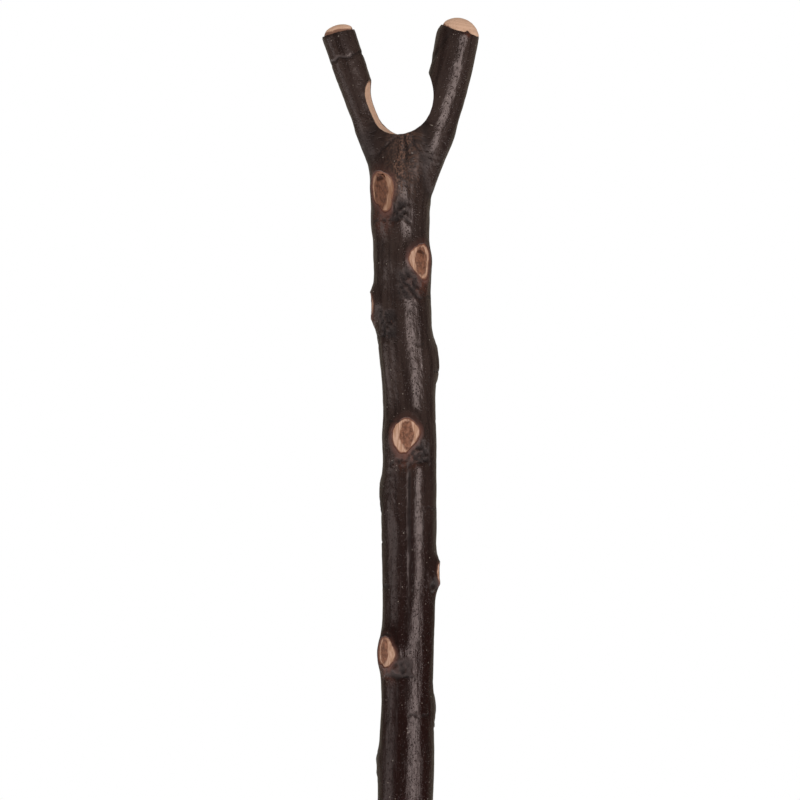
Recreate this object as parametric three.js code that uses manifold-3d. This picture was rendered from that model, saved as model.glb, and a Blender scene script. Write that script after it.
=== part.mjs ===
// A thumb stick: a natural forked blackthorn shoot with its bark on, a cut thumb notch between the two arms,
// trimmed side shoots that show as knots, and a brass ferrule with a steel wear disc at the foot.
// Millimetres, +Z up. The origin is the middle of the flat underside of the wear disc.
// A turn angle is measured about the shank from the front (-Y) towards the right (+X).

import * as THREE from 'three';
import { mergeVertices } from 'three/addons/utils/BufferGeometryUtils.js';
import Module from 'manifold-3d';

const wasm = await Module();
wasm.setup();

// Whole stick
const stickLength = 1220; // steel underside to the top of the longer arm
const barkThickness = 0.8;
const growthGap = 0.3; // between bark and core, and round each knot
const fitGap = 0.3; // between made pieces that seat on each other

// Shank
const shankDiameter = 27; // over the bark, just below the fork
const footDiameter = 25.0; // over the bark, where the ferrule starts
const shankSides = 14;
const ringSpacing = 36; // most that lies between the rings of points that shape the shank
const ringLeast = 5; // rings nearer than this to another are left out
const flareRings = [0, 0.25, 0.5, 0.75, 1, 1.3, 1.7]; // rings in the flare, in shares of its length down it

// Fork
const forkDepth = 56.4; // from the top of the right arm down to the bottom of the notch
const forkFlare = 9.4; // extra half width of the shank at the notch bottom
const flareLength = 14; // how far down the flare fades
const flarePower = 1.6; // how sharply it fades there
const flareThinning = 2.6; // the web of the fork is this much thinner each side at the notch bottom
const webFade = 12; // and loses as much again in this height above it
const shankTopAboveNotch = 5; // the shank's own end, lost inside the two arms

// Arms, seen from the front; a reach is measured sideways from the middle of the ferrule
const leftArmDiameter = 16.4;
const leftArmReach = 33.9;
const leftTipDrop = 3.6; // the left arm ends this far below the right one
const leftArmBow = 19.9; // sideways place of the bend that shapes the arm
const leftBendAboveNotch = 8.5;
const leftRootOffset = 0;
const leftRootBelowNotch = 35.2;
const leftRootDiameter = 14.4;
const leftDomeRise = 5.5;
const rightArmDiameter = 20.8;
const rightArmReach = 26.2;
const rightArmBow = 17.9;
const rightBendAboveNotch = 2.6;
const rightRootOffset = -5.5; // it springs from the pith left of the ferrule's middle
const rightRootBelowNotch = 41.1;
const rightRootDiameter = 20;
const rightDomeRise = 10.3;
const armSides = 14;
const armSteps = 9;
const domeSpare = 0.4; // the rounding of a tip starts this far outside the arm
const domeSteps = 7;
const toolReach = 3; // cutters at an arm's tip pass this far outside it

// Thumb notch: an oval cut through the fork, turned a little about the shank
const notchWidth = 33.2;
const notchHeight = 36;
const notchOffset = -1.7; // its middle lies left of the ferrule's middle
const notchTwist = 14; // degrees
const notchSides = 32;
const notchCutterLength = 80;

// Knots
const knotGrowthAngle = 40; // degrees that each side shoot climbed above level
const stubPithDiameter = 2.4;
const stubShare = 0.5; // width of a stub's end against the width of its trimmed face
const stubPithOffset = 1.5; // a stub starts this far out from the pith
const stubSides = 10;
const bossOverTrim = 1.6; // how far a swelling stood out beyond the trimmed face
const bossOverEdge = 1.3; // and at least this many times what the edge of a wide face needs
const faceSides = 12;
const barkOpenDepth = 5; // the bark is opened this far in behind a trimmed face
const knifeReach = 13; // depth of what is trimmed off over a face
const stubOverrun = 4; // a stub's cone is made this much too long, then trimmed with its face
const bossLean = 1.3; // a swelling is this much longer below its knot than above it

// Ferrule
const ferruleDiameter = 24.6;
const ferruleLength = 38;
const ferruleWall = 1.1;
const ferruleTaper = 0.7; // loss of radius from the mouth to the foot
const mouthBead = 0.5; // the rolled bead stands this far out from the tube
const mouthBeadHeight = 2.4;
const discFlangeThickness = 2.6;
const discPlugHeight = 3.2;
const discEdge = 0.8; // bevel round the underside of the wear disc
const beadSteps = 6;
const pinDiameter = 1.8;
const pinLength = 7;
const pinHeight = 27; // above the ground
const ferruleSides = 32;
const pinSides = 12;

// Colours
const woodColour = 0xba9678;
const barkColour = 0x35282a;
const knotColour = 0x7d5a42;
const brassColour = 0xb08d4a;
const steelColour = 0x8d8f92;

const notchBottom = stickLength - forkDepth;
const ferruleTop = ferruleLength;
const coreInset = barkThickness + growthGap;
const tubeBottom = discFlangeThickness + fitGap;
const discTop = tubeBottom + discPlugHeight;
const weldLength = 1; // how far solids that are joined into one run into each other
const passThrough = 5; // how far a cut runs past an open end
const radians = THREE.MathUtils.degToRad;

// The shank's natural line. Each station is: distance below the notch, sideways shift, shift to the back,
// and how much fuller the shank is there than its even taper.
const shankLine = [
  [-30, -0.5, 0, 0], [0, -0.5, 0, 0], [25, -2.1, 0.3, 0.1], [50, -2.4, 0.6, 0.2], [75, -1.5, 0.6, 0.2],
  [100, -0.3, 0.2, -0.2], [125, 1.6, -0.3, -0.8], [150, 1.8, -0.6, -0.5], [180, 1.6, -0.4, -0.1],
  [200, 1.8, 0, -0.4], [225, 1.6, 0.5, -0.7], [250, 0.9, 0.8, -0.5], [272, 0.6, 0.8, -0.7], [300, 0.3, 0.4, 0.1],
  [340, -0.8, -0.5, 0.1], [400, -1.8, -1.4, -0.2], [460, -1.2, -1.2, 0.3], [530, 0.9, 0.2, -0.1],
  [600, 2.0, 1.5, 0.2], [670, 1.4, 1.3, -0.3], [750, -0.8, -0.2, 0.2], [830, -1.9, -1.4, -0.1],
  [910, -0.9, -1.2, 0.2], [990, 0.6, 0.1, 0], [1080, 0.4, 0.4, 0], [1200, 0, 0, 0]
];

// Knots that the fork half carries. Each is: distance of its middle below the notch, turn in degrees,
// width and height of its trimmed oval, how far the trimmed face stands out from the shank, and how many
// degrees the face looks down.
const upperKnots = [
  [26.6, -36, 11.6, 19.4, 1.4, 14],
  [43, 150, 9.5, 13, 1.2, 4],
  [60.7, 34, 11.6, 15.6, 0.6, 0],
  [81.4, -86, 9.6, 11, 1.9, 0],
  [107, 112, 10.5, 14, 1.9, 0],
  [126, -150, 9, 12, 1.4, 0],
  [143.8, -8, 13.4, 16, 0.8, 0],
  [170.6, -112, 9, 11, 0.9, 0],
  [190, 165, 10, 14, 1.2, 0],
  [209.6, 82, 8, 9.6, 1.7, 0],
  [228, -175, 8.6, 11, 1.2, 0],
  [247.4, -50, 11.4, 15, 1.0, 0],
  [275, 128, 9.4, 12, 1.3, 0],
  [300, -128, 8.6, 11, 1.4, 0]
];

// Knots down the rest of the shank follow the shoot's growth: one each time round by the same turn.
const lowerKnotStart = 350; // below the notch
const lowerKnotSpacing = 78;
const lowerKnotTurn = 137.5; // degrees
const lowerKnotFirstTurn = 20;
const lowerKnotWidth = 10;
const lowerKnotHeight = 13;
const lowerKnotProud = 1.2;
const knotFootClearance = 30; // no knot is nearer than this to the ferrule
const lineFadeHeight = 90; // the natural line runs true within this height of the ferrule

// A smooth value through stations [place, ...values], with the slope at each station taken from its neighbours.
function valueAlong(stations, column, place) {
  const last = stations.length - 1;
  let k = 0;
  while (k < last - 1 && place > stations[k + 1][0]) k += 1;
  const slopeAt = (i) => {
    const before = stations[Math.max(i - 1, 0)];
    const after = stations[Math.min(i + 1, last)];
    return (after[column] - before[column]) / (after[0] - before[0]);
  };
  const width = stations[k + 1][0] - stations[k][0];
  const t = THREE.MathUtils.clamp((place - stations[k][0]) / width, 0, 1);
  const rise = t * t * (3 - 2 * t);
  return (
    stations[k][column] * (1 - rise) + stations[k + 1][column] * rise +
    width * (slopeAt(k) * t * (1 - t) * (1 - t) - slopeAt(k + 1) * t * t * (1 - t))
  );
}

// Where the shank's middle is at a height, and its half width before any knot swells it.
function shankMiddle(height) {
  const below = notchBottom - height;
  const settle = THREE.MathUtils.smoothstep(height, ferruleTop, ferruleTop + lineFadeHeight);
  return new THREE.Vector3(
    valueAlong(shankLine, 1, below) * settle, valueAlong(shankLine, 2, below) * settle, height
  );
}

function shankRadius(height) {
  const settle = THREE.MathUtils.smoothstep(height, ferruleTop, ferruleTop + lineFadeHeight);
  const upShare = THREE.MathUtils.clamp((height - ferruleTop) / (notchBottom - ferruleTop), 0, 1);
  const taper = THREE.MathUtils.lerp(footDiameter, shankDiameter, upShare) / 2;
  return taper + valueAlong(shankLine, 3, notchBottom - height) * settle;
}

// How far the shank has opened out into the fork, from 0 below to 1 at the notch bottom.
function forkFlareShare(height) {
  const below = Math.max(notchBottom - height, 0);
  return Math.exp(-Math.pow(below / flareLength, flarePower));
}

// How much thinner each side of the web is there.
function webThinning(height) {
  const above = Math.max(height - notchBottom, 0);
  return flareThinning * (forkFlareShare(height) + above / webFade);
}

// Each knot with its height, its direction out of the shank, and the swelling that carries it.
function listKnots() {
  const places = [...upperKnots];
  const deepest = notchBottom - ferruleTop - knotFootClearance;
  for (let below = lowerKnotStart, count = 0; below < deepest; below += lowerKnotSpacing, count += 1) {
    const turn = lowerKnotFirstTurn + count * lowerKnotTurn;
    places.push([below, turn, lowerKnotWidth, lowerKnotHeight, lowerKnotProud, 0]);
  }
  return places.filter((place) => place[0] < deepest).map(([below, turn, width, tall, proud, lookDown]) => {
    const height = notchBottom - below;
    const angle = radians(turn);
    const radius = shankRadius(height);
    const halfWidth = width / 2;
    const neededAtEdge = (radius + proud) / Math.cos(halfWidth / radius) - radius;
    const boss = Math.max(proud + bossOverTrim, neededAtEdge * bossOverEdge);
    return {
      height, angle, radius, proud, boss, width, tall, lookDown: radians(lookDown),
      bossWidth: halfWidth / Math.sqrt(-Math.log(neededAtEdge / boss)),
      bossLength: tall / 2 / Math.sqrt(-Math.log(proud / boss)),
      out: new THREE.Vector3(Math.sin(angle), -Math.cos(angle), 0),
      middle: shankMiddle(height)
    };
  });
}
const knots = listKnots();

// How far the knots' swellings push the surface out at a height and a turn.
function swelling(height, angle) {
  let total = 0;
  for (const knot of knots) {
    const up = height - knot.height;
    const length = up > 0 ? knot.bossLength : knot.bossLength * bossLean;
    const turned = Math.atan2(Math.sin(angle - knot.angle), Math.cos(angle - knot.angle));
    const across = (turned * knot.radius) / knot.bossWidth;
    total += knot.boss * Math.exp(-((up / length) ** 2) - across ** 2);
  }
  return total;
}

// Solids from closed geometry, and back again.
function toSolid(geometry) {
  const bare = geometry.index ? geometry : geometry.clone();
  bare.deleteAttribute('normal');
  bare.deleteAttribute('uv');
  const merged = mergeVertices(bare, 1e-4);
  return new wasm.Manifold(new wasm.Mesh({
    numProp: 3,
    vertProperties: new Float32Array(merged.attributes.position.array),
    triVerts: new Uint32Array(merged.index.array)
  }));
}

function toGeometry(solid) {
  const mesh = solid.getMesh();
  const geometry = new THREE.BufferGeometry();
  geometry.setAttribute('position', new THREE.BufferAttribute(new Float32Array(mesh.vertProperties), 3));
  geometry.setIndex(new THREE.BufferAttribute(new Uint32Array(mesh.triVerts), 1));
  geometry.computeVertexNormals();
  return geometry;
}

// A closed bar whose rings of points are placed one by one. place(step, angle, share) gives a point, where
// share is 1 on the surface and 0 in the middle of an end.
function shapedBar(sides, steps, place) {
  const bar = new THREE.CylinderGeometry(1, 1, 1, sides, steps);
  const points = bar.attributes.position;
  const point = new THREE.Vector3();
  for (let i = 0; i < points.count; i += 1) {
    point.fromBufferAttribute(points, i);
    const share = Math.hypot(point.x, point.z);
    const step = Math.round((point.y + 0.5) * steps);
    const moved = place(step, Math.atan2(point.x, point.z), share);
    points.setXYZ(i, moved.x, moved.y, moved.z);
  }
  return toSolid(bar);
}

// Heights of the shank's rings: one at each knot and at the sides of its swelling, more where the fork
// flares, and others so that no two are far apart.
function listRings() {
  const top = notchBottom + shankTopAboveNotch;
  const wanted = [];
  for (const knot of knots) {
    wanted.push(knot.height, knot.height + knot.bossLength, knot.height - knot.bossLength * bossLean);
  }
  for (const flareShare of flareRings) wanted.push(notchBottom - flareShare * flareLength);
  wanted.sort((a, b) => a - b);
  const rings = [ferruleTop + ringSpacing / 2];
  for (const height of wanted) {
    const gap = height - rings[rings.length - 1];
    if (height > top - ringLeast / 2 || gap < ringLeast) continue;
    const fill = Math.ceil(gap / ringSpacing);
    const from = rings[rings.length - 1];
    for (let i = 1; i <= fill; i += 1) rings.push(from + (gap * i) / fill);
  }
  rings.push(top);
  return rings;
}
const shankRings = listRings();

// The shank from a bottom height to its end inside the fork, taken in by inset all round.
function shankSolid(bottom, inset) {
  const heights = [bottom, ...shankRings];
  return shapedBar(shankSides, heights.length - 1, (step, angle, share) => {
    const height = heights[step];
    const out = shankRadius(height) + swelling(height, angle) - inset;
    const point = shankMiddle(height);
    point.x += share * (out + forkFlare * forkFlareShare(height)) * Math.sin(angle);
    point.y -= share * (out - webThinning(height)) * Math.cos(angle);
    return point;
  });
}

// An arm: its line from the pith to just past its tip, and its radii.
function makeArm(side, reach, bow, bendAbove, rootX, rootBelow, tipDrop, tipDiameter, rootDiameter, domeRise) {
  const root = new THREE.Vector3(rootX, 0, notchBottom - rootBelow);
  const bend = new THREE.Vector3(side * bow, 0, notchBottom + bendAbove);
  const tip = new THREE.Vector3(side * reach, 0, stickLength - tipDrop);
  return {
    line: new THREE.QuadraticBezierCurve3(root, bend, tip),
    direction: tip.clone().sub(bend).normalize(),
    tip, tipRadius: tipDiameter / 2, rootRadius: rootDiameter / 2, domeRise
  };
}
const arms = [
  makeArm(
    -1, leftArmReach, leftArmBow, leftBendAboveNotch, leftRootOffset, leftRootBelowNotch, leftTipDrop,
    leftArmDiameter, leftRootDiameter, leftDomeRise
  ),
  makeArm(
    1, rightArmReach, rightArmBow, rightBendAboveNotch, rightRootOffset, rightRootBelowNotch, 0,
    rightArmDiameter, rightRootDiameter, rightDomeRise
  )
];

// The arm as a bar, taken in by inset and running on past the tip by overrun.
function armSolid(arm, inset, overrun) {
  const back = new THREE.Vector3(0, 1, 0);
  return shapedBar(armSides, armSteps, (step, angle, share) => {
    const along = Math.min(step / (armSteps - 1), 1);
    const tangent = arm.line.getTangent(along);
    const across = back.clone().cross(tangent).normalize();
    const radius = THREE.MathUtils.lerp(arm.rootRadius, arm.tipRadius, along) - inset;
    const point = arm.line.getPoint(along);
    if (step === armSteps) point.addScaledVector(tangent, overrun);
    point.addScaledVector(across, share * radius * Math.sin(angle));
    point.addScaledVector(back, -share * radius * Math.cos(angle));
    return point;
  });
}

// The whole growth, shank and both arms in one, from a bottom height to overrun past each tip.
function growth(bottom, inset, overrun) {
  let solid = shankSolid(bottom, inset);
  for (const arm of arms) solid = solid.add(armSolid(arm, inset, overrun));
  return solid;
}

// Turns and moves a geometry that was made about its own Y axis, so that Y lies along a direction.
function alongDirection(geometry, direction, place) {
  const turn = new THREE.Quaternion().setFromUnitVectors(new THREE.Vector3(0, 1, 0), direction);
  geometry.applyQuaternion(turn);
  geometry.translate(place.x, place.y, place.z);
  return geometry;
}

// What the rounding of an arm's tip takes off: everything round and above an oval dome.
function tipWaste(arm) {
  const domeRadius = arm.tipRadius + domeSpare;
  const reach = arm.tipRadius + toolReach;
  const profile = [];
  for (let i = 0; i <= domeSteps; i += 1) {
    const angle = (i / domeSteps) * (Math.PI / 2);
    profile.push(new THREE.Vector2(domeRadius * Math.sin(angle), arm.domeRise * (Math.cos(angle) - 1)));
  }
  profile.push(new THREE.Vector2(reach, -arm.domeRise));
  profile.push(new THREE.Vector2(reach, reach));
  profile.push(new THREE.Vector2(0, reach));
  const lathe = new THREE.LatheGeometry(profile, armSides);
  return toSolid(alongDirection(lathe, arm.direction, arm.tip));
}

// The bark stops level with the foot of each dome.
function barkTrim(arm) {
  const reach = arm.tipRadius + toolReach;
  const height = arm.domeRise + reach;
  const cylinder = new THREE.CylinderGeometry(reach, reach, height, armSides);
  const middle = arm.tip.clone().addScaledVector(arm.direction, height / 2 - arm.domeRise);
  return toSolid(alongDirection(cylinder, arm.direction, middle));
}

// The oval cutter of the thumb notch.
function notchCutter() {
  const cutter = new THREE.CylinderGeometry(1, 1, notchCutterLength, notchSides);
  cutter.scale(notchWidth / 2, 1, notchHeight / 2);
  cutter.rotateZ(-radians(notchTwist));
  cutter.translate(notchOffset, 0, notchBottom + notchHeight / 2);
  return toSolid(cutter);
}

// What the trimming knife takes off over a knot: an oval plug of all that lies beyond the trimmed face,
// or from deeper in, to open the bark round it.
function knotWaste(knot, deeper) {
  const depth = knifeReach + deeper;
  const plug = new THREE.CylinderGeometry(1, 1, depth, faceSides);
  plug.scale(knot.width / 2, 1, knot.tall / 2);
  plug.translate(0, deeper - depth / 2, 0);
  plug.rotateX(knot.lookDown);
  plug.rotateZ(knot.angle);
  const face = knot.middle.clone().addScaledVector(knot.out, knot.radius + knot.proud);
  plug.translate(face.x, face.y, face.z);
  return toSolid(plug);
}

// The stub of a side shoot: a slim cone that climbs outwards from the pith, larger by spare all round.
function stubSolid(knot, spare) {
  const climb = radians(knotGrowthAngle);
  const reach = knot.radius + knot.proud - stubPithOffset;
  const length = reach / Math.cos(climb);
  const endRadius = (knot.width * stubShare) / 2;
  const growthRate = (endRadius - stubPithDiameter / 2) / length;
  const coneLength = length + stubOverrun + spare;
  const cone = new THREE.CylinderGeometry(
    endRadius + growthRate * stubOverrun + spare, stubPithDiameter / 2 + spare, coneLength, stubSides
  );
  const direction = knot.out.clone().multiplyScalar(Math.cos(climb));
  direction.z = Math.sin(climb);
  const end = knot.middle.clone().addScaledVector(knot.out, knot.radius + knot.proud);
  const middle = end.addScaledVector(direction, stubOverrun - coneLength / 2);
  return toSolid(alongDirection(cone, direction, middle));
}

// A pin flush with the ferrule on one side and driven into the wood, or its hole, larger by spare all round.
function pinSolid(side, spare) {
  const outside = ferruleRadiusAt(pinHeight);
  const radius = pinDiameter / 2 + spare;
  const length = pinLength + 2 * spare;
  const pin = new THREE.CylinderGeometry(radius, radius, length, pinSides);
  pin.rotateZ(Math.PI / 2);
  pin.translate(side * (outside - pinLength / 2), 0, pinHeight);
  return toSolid(pin);
}

function ferruleRadiusAt(height) {
  return ferruleDiameter / 2 - (ferruleTaper * (ferruleTop - height)) / ferruleLength;
}

// Wood of the shank and arms, with its seat for the ferrule, a pocket for each stub and the pin holes.
function woodCore(notch) {
  let core = growth(ferruleTop, coreInset, weldLength);
  const seatBottom = discTop + fitGap;
  const seatTop = ferruleTop + weldLength;
  const seatRadius = (height) => ferruleRadiusAt(height) - ferruleWall - fitGap;
  const seat = new THREE.CylinderGeometry(
    seatRadius(ferruleTop), seatRadius(seatBottom), seatTop - seatBottom, ferruleSides
  );
  seat.rotateX(Math.PI / 2);
  seat.translate(0, 0, (seatTop + seatBottom) / 2);
  core = core.add(toSolid(seat)).subtract(notch);
  for (const arm of arms) core = core.subtract(tipWaste(arm));
  for (const knot of knots) core = core.subtract(knotWaste(knot, 0)).subtract(stubSolid(knot, growthGap));
  for (const side of [-1, 1]) core = core.subtract(pinSolid(side, fitGap));
  return core;
}

// The bark: the whole growth less what is inside it, open at the foot, tips, notch and knots.
function barkSkin(notch) {
  const bottom = ferruleTop + fitGap;
  const inside = growth(bottom - passThrough, barkThickness, weldLength + passThrough);
  let bark = growth(bottom, 0, weldLength).subtract(inside).subtract(notch);
  for (const arm of arms) bark = bark.subtract(barkTrim(arm));
  for (const knot of knots) bark = bark.subtract(knotWaste(knot, barkOpenDepth));
  return bark;
}

// A drawn brass tube with a bead rolled at its mouth and a hole for each pin.
function ferruleTube() {
  const beadBottom = ferruleTop - mouthBeadHeight;
  const profile = [
    new THREE.Vector2(ferruleRadiusAt(ferruleTop) - ferruleWall, ferruleTop),
    new THREE.Vector2(ferruleRadiusAt(tubeBottom) - ferruleWall, tubeBottom),
    new THREE.Vector2(ferruleRadiusAt(tubeBottom), tubeBottom)
  ];
  for (let i = 0; i <= beadSteps; i += 1) {
    const height = beadBottom + (mouthBeadHeight * i) / beadSteps;
    const bulge = mouthBead * Math.sin((Math.PI * i) / beadSteps);
    profile.push(new THREE.Vector2(ferruleRadiusAt(height) + bulge, height));
  }
  profile.push(profile[0].clone());
  const lathe = new THREE.LatheGeometry(profile, ferruleSides);
  lathe.rotateX(Math.PI / 2);
  let tube = toSolid(lathe);
  for (const side of [-1, 1]) tube = tube.subtract(pinSolid(side, fitGap));
  return tube;
}

// The wear disc: a flange under the tube's end and a plug inside it.
function ferruleEndDisc() {
  const outer = ferruleRadiusAt(discFlangeThickness);
  const plug = outer - ferruleWall - fitGap;
  const profile = [
    new THREE.Vector2(0, 0),
    new THREE.Vector2(outer - discEdge, 0),
    new THREE.Vector2(outer, discEdge),
    new THREE.Vector2(outer, discFlangeThickness),
    new THREE.Vector2(plug, discFlangeThickness),
    new THREE.Vector2(plug, discTop),
    new THREE.Vector2(0, discTop)
  ];
  const lathe = new THREE.LatheGeometry(profile, ferruleSides);
  lathe.rotateX(Math.PI / 2);
  return toSolid(lathe);
}

// Materials
const wood = () => new THREE.MeshStandardMaterial({ color: woodColour, roughness: 0.5, metalness: 0 });
const barkFinish = () => new THREE.MeshStandardMaterial({ color: barkColour, roughness: 0.3, metalness: 0 });
const knotWood = () => new THREE.MeshStandardMaterial({ color: knotColour, roughness: 0.45, metalness: 0 });
const brass = () => new THREE.MeshStandardMaterial({ color: brassColour, roughness: 0.3, metalness: 1 });
const steel = () => new THREE.MeshStandardMaterial({ color: steelColour, roughness: 0.4, metalness: 1 });

const group = new THREE.Group();
function addPiece(name, solid, material) {
  const mesh = new THREE.Mesh(toGeometry(solid), material);
  mesh.name = name;
  group.add(mesh);
}

const notch = notchCutter();
addPiece('wood_core', woodCore(notch), wood());
addPiece('bark', barkSkin(notch), barkFinish());
knots.forEach((knot, i) => {
  const stub = stubSolid(knot, 0).subtract(knotWaste(knot, 0));
  addPiece(`knot_${String(i + 1).padStart(2, '0')}`, stub, knotWood());
});
addPiece('ferrule_tube', ferruleTube(), brass());
addPiece('ferrule_end_disc', ferruleEndDisc(), steel());
addPiece('ferrule_pin_left', pinSolid(-1, 0), brass());
addPiece('ferrule_pin_right', pinSolid(1, 0), brass());

export default group;
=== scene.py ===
import math

import bpy
import numpy as np
import openvdb
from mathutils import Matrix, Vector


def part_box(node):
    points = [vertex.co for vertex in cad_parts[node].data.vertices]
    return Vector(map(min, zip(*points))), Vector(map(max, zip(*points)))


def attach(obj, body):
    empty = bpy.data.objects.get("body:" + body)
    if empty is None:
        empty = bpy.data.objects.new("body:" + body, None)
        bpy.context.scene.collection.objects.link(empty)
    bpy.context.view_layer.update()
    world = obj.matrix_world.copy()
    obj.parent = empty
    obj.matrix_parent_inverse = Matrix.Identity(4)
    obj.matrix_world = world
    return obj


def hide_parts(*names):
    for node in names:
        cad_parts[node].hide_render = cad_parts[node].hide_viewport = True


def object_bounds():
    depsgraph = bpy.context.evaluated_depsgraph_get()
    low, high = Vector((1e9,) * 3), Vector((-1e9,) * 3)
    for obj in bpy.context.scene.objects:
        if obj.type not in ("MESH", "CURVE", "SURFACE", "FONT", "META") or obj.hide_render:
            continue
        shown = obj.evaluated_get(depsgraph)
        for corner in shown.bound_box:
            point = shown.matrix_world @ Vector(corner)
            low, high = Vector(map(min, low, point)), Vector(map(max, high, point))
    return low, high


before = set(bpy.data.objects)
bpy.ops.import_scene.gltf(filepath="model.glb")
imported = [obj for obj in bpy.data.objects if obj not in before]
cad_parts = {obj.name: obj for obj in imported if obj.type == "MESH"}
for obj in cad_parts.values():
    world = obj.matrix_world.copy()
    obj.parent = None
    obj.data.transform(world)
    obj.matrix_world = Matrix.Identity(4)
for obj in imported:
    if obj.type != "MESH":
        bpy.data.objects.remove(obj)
cad_low, cad_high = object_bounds()

# Core wood
# The sapwood and heartwood of the shoot, in one growth from the ferrule to both arm tips. The thumb notch is
# sawn and rasped through the fork, the tips are rounded over, and each side shoot is trimmed to a flat face.
METRE = 0.001
stick_top = cad_high.z / METRE
notch_bottom = stick_top - 56.4
bark_thickness = 0.85
ferrule_top = 38.0
line_fade_height = 90.0
foot_radius = 12.5
shank_top_radius = 13.5
shank_top_above_notch = 5.0
fork_flare = 8.8
flare_length = 13.0
flare_power = 1.6
flare_thinning = 2.6
web_fade = 12.0
fork_blend = 4.5
seam_width = 0.9
# Each station of the shank's line: below the notch, sideways, to the back, and fuller than the even taper.
shank_line = np.array([
    [-30, -0.5, 0, 0], [0, -0.5, 0, 0], [25, -2.1, 0.3, 0.1], [50, -2.4, 0.6, 0.2], [75, -1.5, 0.6, 0.2],
    [100, -0.3, 0.2, -0.2], [125, 1.6, -0.3, -0.8], [150, 1.8, -0.6, -0.5], [180, 1.6, -0.4, -0.1],
    [200, 1.8, 0, -0.4], [225, 1.6, 0.5, -0.7], [250, 0.9, 0.8, -0.5], [272, 0.6, 0.8, -0.7],
    [300, 0.3, 0.4, 0.1], [340, -0.8, -0.5, 0.1], [400, -1.8, -1.4, -0.2], [460, -1.2, -1.2, 0.3],
    [530, 0.9, 0.2, -0.1], [600, 2.0, 1.5, 0.2], [670, 1.4, 1.3, -0.3], [750, -0.8, -0.2, 0.2],
    [830, -1.9, -1.4, -0.1], [910, -0.9, -1.2, 0.2], [990, 0.6, 0.1, 0], [1080, 0.4, 0.4, 0],
    [1200, 0, 0, 0],
])


def smooth_step(value, low, high):
    share = np.clip((value - low) / (high - low), 0, 1)
    return share * share * (3 - 2 * share)


def bell(value, width, power=2):
    """1 where the value is 0, and less the farther it is from 0."""
    return np.exp(-(value / width) ** power)


def line_value(column, z):
    """A smooth value through the shank's stations at each height, which fades out above the round foot."""
    below = notch_bottom - z
    place = shank_line[:, 0]
    value = shank_line[:, column]
    last = len(place) - 1
    before = np.maximum(np.arange(last + 1) - 1, 0)
    after = np.minimum(np.arange(last + 1) + 1, last)
    slope = (value[after] - value[before]) / (place[after] - place[before])
    k = np.clip(np.searchsorted(place, below) - 1, 0, last - 1)
    width = place[k + 1] - place[k]
    t = np.clip((below - place[k]) / width, 0, 1)
    rise = t * t * (3 - 2 * t)
    bend = slope[k] * t * (1 - t) ** 2 - slope[k + 1] * t * t * (1 - t)
    smooth = value[k] * (1 - rise) + value[k + 1] * rise + width * bend
    return smooth * smooth_step(z, ferrule_top, ferrule_top + line_fade_height)


def shank_middle(z):
    return line_value(1, z), line_value(2, z)


def shank_radius(z):
    up = np.clip((z - ferrule_top) / (notch_bottom - ferrule_top), 0, 1)
    return foot_radius + (shank_top_radius - foot_radius) * up + line_value(3, z)


# The side shoots: below the notch, turn in degrees, width and height of the trimmed wood, how far the face
# stands out, how many degrees it looks down, to which side the brown of the stub has spread, to which side
# the puckered bark lies and how deep it reaches, and where the folds under it part and how high they stand.
upper_shoots = [
    (26.6, -39, 12.9, 20, 1.4, 6, -0.4, 1.1, 4, 0.6, 0.15),
    (43, 150, 9.5, 13, 1.2, 4, 0.5, -0.8, 4, 0.2, 0.4),
    (60.7, 36, 12.9, 16.4, 0.6, 0, 0.6, -0.85, 8.5, 0, -0.3),
    (81.4, -86, 9.6, 11, 1.9, 0, 0, 2.4, 9, 0.9, 0.4),
    (107, 112, 10.5, 14, 1.9, 0, -0.5, 0.9, 5, 0.4, 0.4),
    (126, -150, 9, 12, 1.4, 0, 0.3, -0.9, 4, -0.3, 0.4),
    (143.8, -8, 13.4, 16, 0.8, 0, 0.15, 0.95, 4.8, 0.24, 0.9),
    (170.6, -112, 9, 11, 0.9, 0, 0.1, 0.9, 4, 0.2, 0.4),
    (190, 165, 10, 14, 1.2, 0, -0.6, 0.8, 5, -0.2, 0.4),
    (209.6, 82, 8, 9.6, 1.7, 0, 0.4, -0.9, 3.5, 0.3, 0.3),
    (228, -175, 8.6, 11, 1.2, 0, 0.1, 0.9, 4, 0, 0.4),
    (247.4, -50, 12, 14.4, 1.0, 0, -0.8, 1.2, 4.5, 0.9, 0.15),
    (275, 128, 9.4, 12, 1.3, 0, 0.5, -0.9, 4, 0.3, 0.4),
    (300, -128, 8.6, 11, 1.4, 0, -0.4, 0.9, 4, -0.2, 0.4),
]
# The outlines of the four largest faces against a plain oval, every 15 degrees from the lowest point to the
# right.
face_edges = {
    26.6: [0.92, 1.04, 1.1, 1.08, 0.89, 0.95, 1.01, 1.05, 0.99, 0.92, 0.84, 0.83,
           0.86, 0.91, 0.99, 1.09, 1.09, 1.04, 1.0, 0.97, 0.94, 0.86, 0.76, 0.72],
    60.7: [0.82, 1.0, 1.12, 1.11, 1.01, 0.95, 0.99, 1.08, 1.2, 1.22, 1.15, 1.0,
           0.93, 0.88, 0.86, 0.86, 0.87, 0.87, 0.86, 0.76, 0.68, 0.64, 0.64, 0.7],
    143.8: [1.03, 0.85, 0.75, 0.77, 0.8, 0.85, 0.96, 1.04, 1.0, 0.965, 0.965, 0.99,
            1.0, 0.98, 0.965, 0.985, 1.0, 1.01, 1.02, 1.04, 1.06, 1.0, 1.08, 1.08],
    247.4: [1.02, 1.0, 0.97, 0.97, 1.0, 1.02, 0.97, 0.86, 0.78, 0.79, 0.84, 0.9,
            0.97, 1.0, 1.03, 1.01, 0.985, 0.985, 1.0, 1.04, 1.09, 1.08, 0.95, 1.03],
}
torn_edge = np.full(24, 0.97)
torn_edge[[0, 1, 23]] = 1.12
lower_shoots_start = 350.0
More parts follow.
